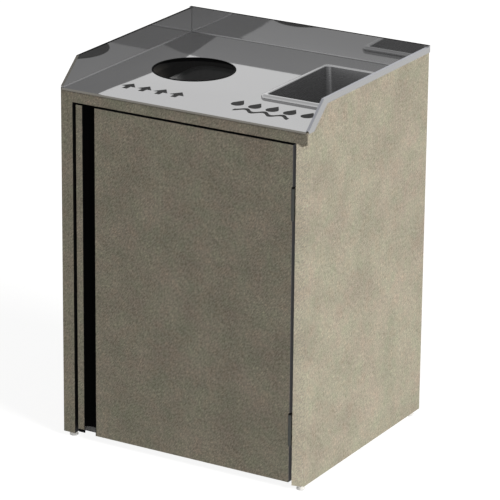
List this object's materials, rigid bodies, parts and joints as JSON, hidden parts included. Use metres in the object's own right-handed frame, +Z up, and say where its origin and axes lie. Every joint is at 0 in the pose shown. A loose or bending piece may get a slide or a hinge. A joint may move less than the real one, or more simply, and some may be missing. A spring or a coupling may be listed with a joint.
{
  "type": "waste receptacle cabinet",
  "caption": "Laminate waste cabinet with a hinged front door and a steel worktop that has a round drop hole, a drop-in pan for liquids and raised splashes.",
  "frame": {"origin": "on the floor, in the middle of the footprint", "axes": "+X to the right as seen from the front, +Y from the door to the back, +Z up"},
  "size_m": [0.6936, 0.6152, 0.98],
  "materials": {
    "laminate": "high-pressure laminate, matt, fine mottled taupe weave",
    "carcass_board": "dark melamine-faced board",
    "polished_steel": "stainless sheet, finely brushed and bright",
    "pan_steel": "deep-drawn stainless, satin",
    "black_plastic": "black extruded plastic",
    "bin_plastic": "grey moulded polyethylene",
    "grey_trim": "grey plastic trim",
    "hinge_steel": "dark zinc-plated steel",
    "pin_steel": "blackened steel",
    "screw_steel": "bright zinc-plated steel",
    "catch_plastic": "white moulded plastic",
    "magnet": "sintered magnet",
    "rubber": "black rubber",
    "insert_brass": "plain turned brass",
    "foot_plastic": "pale grey plastic with a plated stud"
  },
  "bodies": {
    "cabinet": {"side_panel_left": "laminate", "side_panel_right": "laminate", "back_panel": "laminate", "bottom_board": "carcass_board", "plinth_board": "carcass_board", "top_rail": "laminate", "stile_left": "laminate", "stile_right": "laminate", "foot_block_left": "carcass_board", "foot_block_right": "carcass_board", "deck_board": "carcass_board", "deck_cleat_left": "carcass_board", "deck_cleat_right": "carcass_board", "stop_cleat": "carcass_board", "back_screws": "screw_steel", "steel_worktop": "polished_steel", "hole_trim": "black_plastic", "waste_bin": "bin_plastic", "bin_guide_left": "carcass_board", "bin_guide_right": "carcass_board", "bin_stop": "carcass_board", "hinge_frame_leaf_upper": "hinge_steel", "hinge_frame_leaf_lower": "hinge_steel", "hinge_pin_upper": "pin_steel", "hinge_pin_lower": "pin_steel", "hinge_frame_screws": "screw_steel", "catch_body": "catch_plastic", "catch_magnet": "magnet", "catch_screws": "screw_steel", "door_bumpers": "rubber", "foot_inserts": "insert_brass"},
    "door": {"door_panel": "laminate", "door_pull": "black_plastic", "pull_lip_strip": "laminate", "pull_end_trim": "grey_trim", "pull_screws": "screw_steel", "hinge_door_leaf_upper": "hinge_steel", "hinge_door_leaf_lower": "hinge_steel", "hinge_door_screws": "screw_steel", "strike_plate": "screw_steel", "strike_screws": "screw_steel"},
    "pan": {"liquids_pan": "pan_steel"},
    "foot_front_left": {"foot_front_left": "foot_plastic"},
    "foot_front_right": {"foot_front_right": "foot_plastic"},
    "foot_rear_left": {"foot_rear_left": "foot_plastic"},
    "foot_rear_right": {"foot_rear_right": "foot_plastic"}
  },
  "joints": [
    {"name": "door_hinge", "type": "hinge", "parent": "cabinet", "child": "door", "pos_m": [0.3105, -0.30315, 0.45], "axis": [0, 0, 1], "range_deg": [0, 170]},
    {"name": "pan_lift", "type": "slide", "parent": "cabinet", "child": "pan", "axis": [0, 0, 1], "range_m": [0, 0.17]},
    {"name": "foot_front_left_turn", "type": "hinge", "parent": "cabinet", "child": "foot_front_left", "pos_m": [-0.329, -0.27715, 0.007], "axis": [0, 0, 1], "continuous": true},
    {"name": "foot_front_right_turn", "type": "hinge", "parent": "cabinet", "child": "foot_front_right", "pos_m": [0.329, -0.27715, 0.007], "axis": [0, 0, 1], "continuous": true},
    {"name": "foot_rear_left_turn", "type": "hinge", "parent": "cabinet", "child": "foot_rear_left", "pos_m": [-0.329, 0.28385, 0.007], "axis": [0, 0, 1], "continuous": true},
    {"name": "foot_rear_right_turn", "type": "hinge", "parent": "cabinet", "child": "foot_rear_right", "pos_m": [0.329, 0.28385, 0.007], "axis": [0, 0, 1], "continuous": true}
  ]
}
